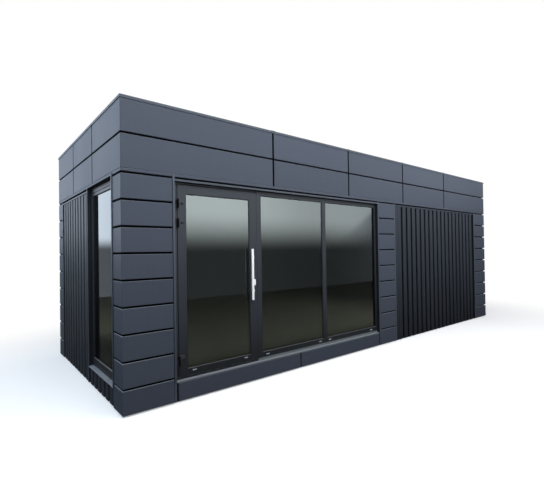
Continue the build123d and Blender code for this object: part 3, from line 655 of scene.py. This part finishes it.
# %% Helpers for small parts
def facing(centre, right):
    """Puts a flat drawing on a wall: its x runs to the right, its y up and its z out of the wall."""
    right, up = Vector(right), Vector((0, 0, 1))
    return Matrix.Translation(centre) @ Matrix((right, up, right.cross(up))).transposed().to_4x4()


def stamp(target, shape, places):
    """Copies a shape into a mesh, once for each place."""
    inked = bpy.data.meshes.new("stamp")
    for place in places:
        copy = shape.copy()
        bmesh.ops.transform(copy, matrix=place, verts=copy.verts[:])
        copy.to_mesh(inked)
        copy.free()
        target.from_mesh(inked)
    bpy.data.meshes.remove(inked)
    shape.free()


def piece(name, mesh, finish, body="cabin"):
    """Makes a named piece of a mesh, which wears a finish and rides on a body."""
    bmesh.ops.recalc_face_normals(mesh, faces=mesh.faces[:])
    open_edges = sum(not edge.is_manifold for edge in mesh.edges)
    for face in mesh.faces:
        face.smooth = True
    made = bpy.data.objects.new(name, bpy.data.meshes.new(name))
    mesh.to_mesh(made.data)
    mesh.free()
    made.data.set_sharp_from_angle(angle=math.radians(35))
    made.data.materials.append(finish.material)
    scene.collection.objects.link(made)
    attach(made, body)
    print(name, "faces:", len(made.data.polygons), "open edges:", open_edges)
    return made


RIGHT_OF = {"front": (1, 0, 0), "back": (-1, 0, 0), "left": (0, -1, 0), "right": (0, 1, 0)}
print("walls to draw on:", sorted(RIGHT_OF))

# %% [markdown]
# ## Round the panes
# A pane is held by a lip of the frame outside and a bead inside, each on a black rubber gasket. All are the
# same kind of shape, a strip that runs round a rectangle, so one function draws it: a face is inset by the
# width of the strip, its middle is taken out, the rest is extruded, and the inner front edge is
# bevelled to the slope that sheds water and catches the light.

# %% A strip round a rectangle
def rim_strip(width, height, lap, low, high, slope):
    """A strip of a given width round a rectangle, from low to high, its inner front edge sloped."""
    mesh = bmesh.new()
    corners = bmesh.ops.create_grid(mesh, x_segments=1, y_segments=1, size=0.5)["verts"]
    bmesh.ops.scale(mesh, verts=corners, vec=(width, height, 1))
    bmesh.ops.translate(mesh, verts=corners, vec=(0, 0, low))
    middle = corners[0].link_faces[0]
    strip = bmesh.ops.inset_region(
        mesh, faces=[middle], thickness=lap, use_boundary=True, use_even_offset=True)["faces"]
    bmesh.ops.delete(mesh, geom=[middle], context="FACES_ONLY")
    grown = bmesh.ops.extrude_face_region(mesh, geom=strip)["geom"]
    front = [part for part in grown if isinstance(part, bmesh.types.BMVert)]
    bmesh.ops.translate(mesh, verts=front, vec=(0, 0, high - low))
    inner = [
        edge for edge in mesh.edges
        if all(vert in front and abs(vert.co.x) < (width - lap) / 2 and abs(vert.co.y) < (height - lap) / 2
               for vert in edge.verts)]
    bmesh.ops.bevel(
        mesh, geom=inner, offset=slope, offset_type="OFFSET", segments=1, profile=0.5, affect="EDGES",
        material=-1)
    return mesh


trial = rim_strip(1.0, 2.0, 0.010, 0.0, 0.020, 0.006)
print("faces of one strip:", len(trial.faces))
trial.free()

# %% Rubber
rubber = Finish("rubber")
bloom = noise(rubber.place, 18.0, 4.0)
rubber.feed(
    Base_Color=mix(bloom, tint(11, 11, 12), tint(24, 24, 25)), Roughness=0.62 + (bloom - 0.5) * 0.2,
    Specular_IOR_Level=0.35, Normal=bump(noise(rubber.place, 300.0), 0.0001, 0.4))
print("rubber nodes:", len(rubber.tree.nodes))

# %% Lips, gaskets and beads
BITE = 0.012
UNIT = 0.024
GLASS_SET = 0.013
GASKET = 0.003
LIP_SET, LIP_LAP = 0.006, 0.003
BEAD_SET, BEAD_LAP = 0.001, 0.016


def glaze(name, side, panes, back, rubber_shown, body):
    """Strips round panes; back is how far the frame stands behind the glass."""
    black, lips = bmesh.new(), bmesh.new()
    for centre, width, height in panes:
        for turned, reach in ((False, GLASS_SET), (True, back)):
            right = -Vector(RIGHT_OF[side]) if turned else Vector(RIGHT_OF[side])
            out = right.cross(Vector((0, 0, 1)))
            place = [facing(Vector(centre) + out * (UNIT / 2), right)]
            lap = BEAD_LAP if turned else LIP_LAP
            top = reach - (BEAD_SET if turned else LIP_SET)
            stamp(lips, rim_strip(width, height, lap, GASKET, top, min(lap, top - GASKET) * 0.6), place)
            stamp(black, rim_strip(width, height, lap + rubber_shown, 0.0, GASKET, 0.0015), place)
    piece(name + "_beads", lips, bead_coat, body)
    piece(name + "_gaskets", black, rubber, body)


def shown_pane(low, high):
    """Middle, width and height of the part of a pane that its frame leaves in sight."""
    size = high - low
    return (low + high) / 2, max(size.x, size.y) - 2 * BITE, size.z - 2 * BITE


LEAF_DEPTH, FRAME_DEPTH = 0.065, 0.080
door_pane = shown_pane(*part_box("door_glass"))
glaze("door_glass", "front", [door_pane], LEAF_DEPTH - GLASS_SET - UNIT, 0.003, "door")
window_pane = shown_pane(*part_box("window_pane"))
behind = FRAME_DEPTH - GLASS_SET - UNIT
glaze("window_pane", "left", [window_pane], behind, 0.004, "cabin")
both, both_width, fixed_height = shown_pane(*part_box("front_fixed_panes"))
MULLION = 0.069
first_width = 1.0675
second_width = both_width - MULLION - first_width
first_middle = both + Vector(((first_width - both_width) / 2, 0, 0))
second_middle = both + Vector(((both_width - second_width) / 2, 0, 0))
fixed_panes = [(first_middle, first_width, fixed_height), (second_middle, second_width, fixed_height)]
glaze("front_panes", "front", fixed_panes, behind, 0.003, "cabin")

# %% [markdown]
# ## Door seal and threshold
# The leaf closes on a soft seal round the stops, and over a ridged aluminium plate on the threshold. Both
# show when the door stands open. The seal is one more strip round a rectangle; the plate is a bevelled slab
# with its ridges stamped across it. A flange on the leaf's lock side covers the gap to the post, a
# millimetre short of it so that the door swings free.

# %% Door seal and threshold plate
SEAL_WIDTH, SEAL_DEPTH, SEAL_SET, SEAL_OVER = 0.010, 0.0042, 0.006, 0.004
leaf_low = Vector(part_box("door_stiles")[0])
leaf_high = Vector(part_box("door_stiles")[1])
seal_centre = (leaf_low + leaf_high) / 2
seal_centre.y = leaf_high.y + SEAL_SET
seal = bmesh.new()
leaf_size = leaf_high - leaf_low
seal_shape = rim_strip(
    leaf_size.x + SEAL_OVER, leaf_size.z + SEAL_OVER, SEAL_WIDTH, 0.0, SEAL_DEPTH, 0.003)
stamp(seal, seal_shape, [facing(seal_centre, RIGHT_OF["front"])])
piece("door_stop_seal", seal, rubber)

lock_post = first_middle.x - first_width / 2 - MULLION
print("gap at the lock side:", round(lock_post - leaf_high.x, 4))


def rounded_block(width, depth, height, edge, segments=2):
    """A block with every edge rounded, standing on z = 0."""
    mesh = bmesh.new()
    bmesh.ops.create_cube(mesh, size=1.0)
    bmesh.ops.scale(mesh, verts=mesh.verts[:], vec=(width, depth, height))
    bmesh.ops.translate(mesh, verts=mesh.verts[:], vec=(0, 0, height / 2))
    bmesh.ops.bevel(
        mesh, geom=mesh.edges[:], offset=edge, offset_type="OFFSET", segments=segments, profile=0.5,
        affect="EDGES", material=-1)
    return mesh


aluminium = Finish("mill_aluminium")
scratch = noise(stretched(aluminium.place, 20.0, 700.0, 700.0), 1.0, 2.0)
wear = noise(aluminium.place, 7.0, 4.0)
aluminium.feed(
    Base_Color=mix(wear, tint(150, 151, 152), tint(186, 187, 187)), Metallic=0.85,
    Roughness=0.36 + (scratch - 0.5) * 0.25 + wear * 0.1, Normal=bump(scratch, 0.00008, 0.5))
LEAF_GAP, PLATE_SHEET, PLATE_OVER, PLATE_IN = 0.006, 0.0012, 0.008, 0.030
RIDGE, RIDGE_RISE, RIDGE_OVER, RIDGE_START, RIDGE_PITCH = 0.004, 0.001, 0.006, -0.012, 0.008
plate = bmesh.new()
threshold_top = leaf_low.z - LEAF_GAP
plate_middle = Vector((seal_centre.x, (leaf_low.y + leaf_high.y) / 2, threshold_top))
stamp(plate, rounded_block(leaf_size.x + PLATE_OVER, leaf_size.y - PLATE_IN, PLATE_SHEET, 0.0003, 1),
      [Matrix.Translation(plate_middle)])
ridges = [plate_middle + Vector((0, RIDGE_START + RIDGE_PITCH * step, RIDGE_RISE)) for step in range(4)]
stamp(plate, rounded_block(leaf_size.x + RIDGE_OVER, RIDGE, RIDGE_RISE, 0.0003, 1),
      [Matrix.Translation(ridge) for ridge in ridges])
piece("threshold_plate", plate, aluminium)

FLANGE, FLANGE_SET = 0.011, 0.001
flange = bmesh.new()
flange_width = lock_post - leaf_high.x - FLANGE_SET
flange_place = Vector((leaf_high.x + flange_width / 2, leaf_low.y + FLANGE_SET + FLANGE, seal_centre.z))
stamp(flange, rounded_block(flange_width, leaf_size.z, FLANGE, 0.0005, 1),
      [facing(flange_place, RIGHT_OF["front"])])
piece("door_edge_flange", flange, frame_coat, "door")

# %% [markdown]
# ## Drain caps
# Water that gets into a frame leaves through slots in its bottom rails, and each slot wears a small pale cap
# with a hood. A block's front face is inset and pushed in for the slot, which also leaves a raised rim.

# %% Drain caps
CAP_SIZE = (0.046, 0.013, 0.004)


def drain_cap():
    mesh = bmesh.new()
    bmesh.ops.create_cube(mesh, size=1.0)
    bmesh.ops.scale(mesh, verts=mesh.verts[:], vec=CAP_SIZE)
    bmesh.ops.translate(mesh, verts=mesh.verts[:], vec=(0, 0, CAP_SIZE[2] / 2))
    ends = [edge for edge in mesh.edges if abs(edge.verts[0].co.z - edge.verts[1].co.z) > 0.001]
    bmesh.ops.bevel(
        mesh, geom=ends, offset=0.004, offset_type="OFFSET", segments=3, profile=0.5, affect="EDGES",
        material=-1)
    front = [face for face in mesh.faces if face.normal.z > 0.9]
    bmesh.ops.inset_region(mesh, faces=front, thickness=0.0018, use_even_offset=True)
    bmesh.ops.inset_region(mesh, faces=front, thickness=0.0004, depth=-0.0025, use_even_offset=True)
    return mesh


cap_plastic = Finish("cap_plastic")
haze = noise(cap_plastic.place, 60.0, 3.0)
cap_plastic.feed(
    Base_Color=mix(haze, tint(138, 142, 146), tint(168, 171, 173)), Roughness=0.48 + (haze - 0.5) * 0.2)
face_y = leaf_low.y
for name, body, level, spots in (
        ("door_drain_caps", "door", 0.286, (-3.219, -2.557)),
        ("frame_drain_caps", "cabin", 0.272, (-2.234, -1.314, -1.122, -0.175))):
    caps = bmesh.new()
    stamp(caps, drain_cap(), [facing((spot, face_y, level), RIGHT_OF["front"]) for spot in spots])
    piece(name, caps, cap_plastic, body)

# %% [markdown]
# ## Plugs, keyholes and screws
# Beside each hinge barrel a black oblong plug covers the adjusting screws. The lock has a keyhole on both
# sides. In the valleys of the rib sheets sit hexagon screws on washers. Each is a rounded block or a short
# cone or two; a real thread or slot would never be seen.

# %% Hinge plugs and keyholes
black_plastic = Finish("black_plastic")
sheen = noise(black_plastic.place, 40.0, 3.0)
black_plastic.feed(
    Base_Color=mix(sheen, tint(5, 5, 6), tint(14, 14, 15)), Roughness=0.65 + (sheen - 0.5) * 0.2,
    Specular_IOR_Level=0.15)
PLUG_X, FLAP, PLUG_DROPS = -3.346, 0.007, (0.044, 0.2435, 1.6565)
PLUG_SIZE, KEYHOLE_SIZE = (0.028, 0.012, 0.002), (0.0022, 0.009, 0.0006)
plugs = bmesh.new()
hinge_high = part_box("door_hinge_halves")[1].z
plug_spots = [(PLUG_X, face_y - FLAP, hinge_high - drop) for drop in PLUG_DROPS]
stamp(plugs, rounded_block(*PLUG_SIZE, 0.0009, 2), [
    facing(spot, RIGHT_OF["front"]) for spot in plug_spots])
piece("hinge_adjuster_plugs", plugs, black_plastic, "door")

lock_low, lock_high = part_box("door_lock_plates")
lock_middle = (lock_low + lock_high) / 2
keyholes = bmesh.new()
stamp(keyholes, rounded_block(*KEYHOLE_SIZE, 0.0005, 2), [
    facing((lock_middle.x, lock_low.y, lock_middle.z), RIGHT_OF["front"]),
    facing((lock_middle.x, lock_high.y, lock_middle.z), RIGHT_OF["back"])])
piece("lock_keyholes", keyholes, black_plastic, "door")

# %% Screws in the rib sheets
RIB_PITCH = 0.150
VALLEY = 0.002
SCREW_LEVELS = (0.24, 1.13, 2.02)
turning = random.Random(5)


def hex_screw():
    mesh = bmesh.new()
    for radius, foot, height, sides in ((0.0085, 0.0, 0.0018, 16), (0.0052, 0.0018, 0.0042, 6)):
        made = bmesh.ops.create_cone(
            mesh, cap_ends=True, segments=sides, radius1=radius, radius2=radius * 0.94, depth=height)
        bmesh.ops.translate(mesh, verts=made["verts"], vec=(0, 0, foot + height / 2))
    return mesh


spots = []
for sheet, side in (("front_rib_sheet", "front"), ("left_rib_sheet", "left"), ("right_rib_sheet", "right"),
                    ("back_rib_sheet", "back")):
    low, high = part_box(sheet)
    right = Vector(RIGHT_OF[side])
    out = right.cross(Vector((0, 0, 1)))
    width = abs((high - low).dot(right))
    ribs_across = int(width / RIB_PITCH + 1e-6)
    outer = (low + high) / 2 - out * (abs((high - low).dot(out)) / 2 - VALLEY)
    for valley_number in range(ribs_across - 1):
        along = (valley_number - (ribs_across - 2) / 2) * RIB_PITCH
        for level in SCREW_LEVELS:
            place = facing(Vector((outer.x, outer.y, level)) + right * along, right)
            spots.append(place @ Matrix.Rotation(turning.uniform(0, math.pi / 3), 4, "Z"))
screws = bmesh.new()
stamp(screws, hex_screw(), spots)
piece("rib_screws", screws, trim)
print("screws:", len(spots))

# %% [markdown]
# ## Behind the joints
# The cassettes hang with open joints between them, and a black strip behind each joint keeps rain and light
# out. At a corner the strip turns with the sheet, so each is two bars that butt behind the fold; on the pier
# one bar does. Without them daylight would show through the notches along the cabin's edges. At the right
# front corner they sit deeper, so the notches there stay open to the light.

# %% Joint backing strips
STRIP, STRIP_HEIGHT = 0.012, 0.0192
STRIP_SETS = {"front_left": 0.010, "front_right": 0.026, "back_left": 0.010, "back_right": 0.010}
UPPER_ROW = 0.338
upper_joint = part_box("fascia_panels")[1].z - UPPER_ROW
joint_levels = [row_pitch * row for row in range(1, ROWS + 1)] + [upper_joint]
backing = bmesh.new()
for corner, strip_set in STRIP_SETS.items():
    low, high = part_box(corner + "_corner_cassettes")
    middle, arms = (low + high) / 2, high - low
    turn = Vector((math.copysign(1, middle.x), math.copysign(1, middle.y)))
    outer = Vector((middle.x + turn.x * arms.x / 2, middle.y + turn.y * arms.y / 2))
    first = arms.x - strip_set
    second = arms.y - strip_set - STRIP
    behind_face = strip_set + STRIP / 2
    bars = (
        (first, STRIP, middle.x - turn.x * strip_set / 2, outer.y - turn.y * behind_face),
        (STRIP, second, outer.x - turn.x * behind_face, middle.y - turn.y * (strip_set + STRIP) / 2))
    for width, depth, x, y in bars:
        stamp(backing, rounded_block(width, depth, STRIP_HEIGHT, 0.0005, 1), [
            Matrix.Translation((x, y, level - STRIP_HEIGHT / 2)) for level in joint_levels])
pier_low, pier_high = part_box("front_pier_cassettes")
pier_middle = (pier_low.x + pier_high.x) / 2
pier_strip_y = pier_low.y + STRIP_SETS["front_left"] + STRIP / 2
stamp(backing, rounded_block(pier_high.x - pier_low.x, STRIP, STRIP_HEIGHT, 0.0005, 1), [
    Matrix.Translation((pier_middle, pier_strip_y, row_pitch * row - STRIP_HEIGHT / 2))
    for row in range(1, ROWS)])
# Painted shade as well as the strips' own colour: they are near black and matt, blacker than rubber, for the
# shade deep in the joints.
near_black_and_shade = Finish("joint_backing_and_shade")
pores = noise(near_black_and_shade.place, 350.0, 2.0)
near_black_and_shade.feed(
    Base_Color=mix(pores, tint(2, 2, 3), tint(6, 6, 7)), Roughness=0.95, Specular_IOR_Level=0.05,
    Normal=bump(pores, 0.0004, 0.6))
piece("joint_backing_strips", backing, near_black_and_shade)

# %% [markdown]
# ## Cover strips
# Where a trim lines the side of an opening, a narrow strip covers its joint with the column. It stands a
# little proud, runs past the edge of the fascia, and reads as a light line beside the dark reveal. Beside
# the pier a flat strip closes the first valley of the rib sheet.

# %% Cover strips
COVER_WIDTH, COVER_PROUD, COVER_LAP, COVER_GAP = 0.021, 0.008, 0.017, 0.002
column_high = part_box("front_left_corner_cassettes")[1]
cover_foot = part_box("window_sill")[1].z
cover_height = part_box("fascia_drip_rails")[0].z + COVER_LAP - cover_foot
cover_middle = cover_foot + cover_height / 2
beside = COVER_GAP + COVER_WIDTH / 2
covers = bmesh.new()
stamp(covers, rounded_block(COVER_WIDTH, cover_height, COVER_PROUD, 0.001, 2), [
    facing((column_high.x + beside, front_face, cover_middle), RIGHT_OF["front"]),
    facing((gable_face, column_high.y + beside, cover_middle), RIGHT_OF["left"])])
piece("opening_cover_strips", covers, trim)

CLOSER_WIDTH, CLOSER_SHEET, CLOSER_SET, CLOSER_GAP = 0.088, 0.002, 0.0015, 0.001
sheet_low, sheet_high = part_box("front_rib_sheet")
closer = bmesh.new()
closer_place = Vector((
    sheet_low.x + CLOSER_GAP + CLOSER_WIDTH / 2, sheet_low.y + CLOSER_SET + CLOSER_SHEET,
    (sheet_low.z + sheet_high.z) / 2))
stamp(closer, rounded_block(CLOSER_WIDTH, sheet_high.z - sheet_low.z, CLOSER_SHEET, 0.0005, 1),
      [facing(closer_place, RIGHT_OF["front"])])
piece("rib_closer_strip", closer, ribs)

# %% [markdown]
# ## Foot and head of the frames
# Beside the door the fixed frames stand on a grooved packing profile that shows as a pale band above the
# sill. At the head of the side window a thin seam shows where two profiles are clipped together.

# %% Packing profile and head seam
PACKING_BARS, BAR_HEIGHT = ((0.0, 0.004), (0.009, 0.003), (0.018, 0.002)), 0.008
foot = bmesh.new()
sill_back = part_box("front_sill")[1].z
foot_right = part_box("front_sill")[1].x
for level, proud in PACKING_BARS:
    place = Vector(((lock_post + foot_right) / 2, face_y, sill_back + level + BAR_HEIGHT / 2))
    stamp(foot, rounded_block(foot_right - lock_post, BAR_HEIGHT, proud, 0.0008, 2),
          [facing(place, RIGHT_OF["front"])])
packing = powder_coat("packing_coat", tint(92, 99, 99), roughness=0.55)
piece("frame_packing_profile", foot, packing)

SEAM_DROP, SEAM_HEIGHT, SEAM_PROUD = 0.051, 0.006, 0.0006
rail_low, rail_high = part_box("window_rails")
seam_line = bmesh.new()
seam_place = Vector((rail_low.x, (rail_low.y + rail_high.y) / 2, rail_high.z - SEAM_DROP))
stamp(seam_line, rounded_block(rail_high.y - rail_low.y, SEAM_HEIGHT, SEAM_PROUD, 0.0002, 1),
      [facing(seam_place, RIGHT_OF["left"])])
piece("window_head_seam", seam_line, near_black_and_shade)

# %% [markdown]
# ## On the roof
# The membrane is welded from sheets a metre wide, and each weld shows as a flat lap that runs across the
# roof and up both upstands. Straps cover the joints of the coping. Both are folded strips: an open line of
# vertices follows the fold, the line is extruded to the strip's width, and solidify gives it thickness.

# %% Laps and straps
def folded_strip(points, width, thickness):
    """A strip that follows a line in the YZ plane, as wide as given along X."""
    mesh = bmesh.new()
    line = [mesh.verts.new((-width / 2, y, z)) for y, z in points]
    edges = [mesh.edges.new(pair) for pair in zip(line, line[1:])]
    grown = bmesh.ops.extrude_edge_only(mesh, edges=edges)["geom"]
    bmesh.ops.translate(
        mesh, verts=[part for part in grown if isinstance(part, bmesh.types.BMVert)], vec=(width, 0, 0))
    bmesh.ops.recalc_face_normals(mesh, faces=mesh.faces[:])
    bmesh.ops.solidify(mesh, geom=mesh.faces[:], thickness=thickness)
    return mesh


FELT, LAP_SHEET, LAP_SHORT = 0.006, 0.002, 0.04
felt_low, felt_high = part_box("roof_membrane")
lap_top = felt_low.z + FELT + LAP_SHEET
reach = felt_high.y - FELT - LAP_SHEET
laps = bmesh.new()
lap_head = felt_high.z - LAP_SHORT
lap_line = [(-reach, lap_head), (-reach, lap_top), (reach, lap_top), (reach, lap_head)]
stamp(laps, folded_strip(lap_line, LAP_WIDTH, LAP_SHEET),
      [Matrix.Translation((LAP_PITCH * step, 0, 0)) for step in range(-3, 4)])
piece("membrane_laps", laps, felt)

STRAP, STRAP_WIDTH, COPING_WIDTH = 0.0008, 0.06, 0.160
cope_low, cope_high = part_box("roof_coping")
inner = abs(cope_low.y) - COPING_WIDTH
strap_line = [
    (cope_low.y - STRAP, cope_low.z + 0.002), (cope_low.y - STRAP, cope_high.z + STRAP),
    (-inner, cope_high.z + STRAP)]
straps = bmesh.new()
turns = [Matrix.Rotation(angle, 4, "Z") for angle in (0, math.pi)]
strap_spots = (-2.143, -0.714, 0.714, 2.143)
stamp(straps, folded_strip(strap_line, STRAP_WIDTH, STRAP), [
    turn @ Matrix.Translation((spot, 0, 0)) for turn in turns for spot in strap_spots])
piece("coping_straps", straps, trim)
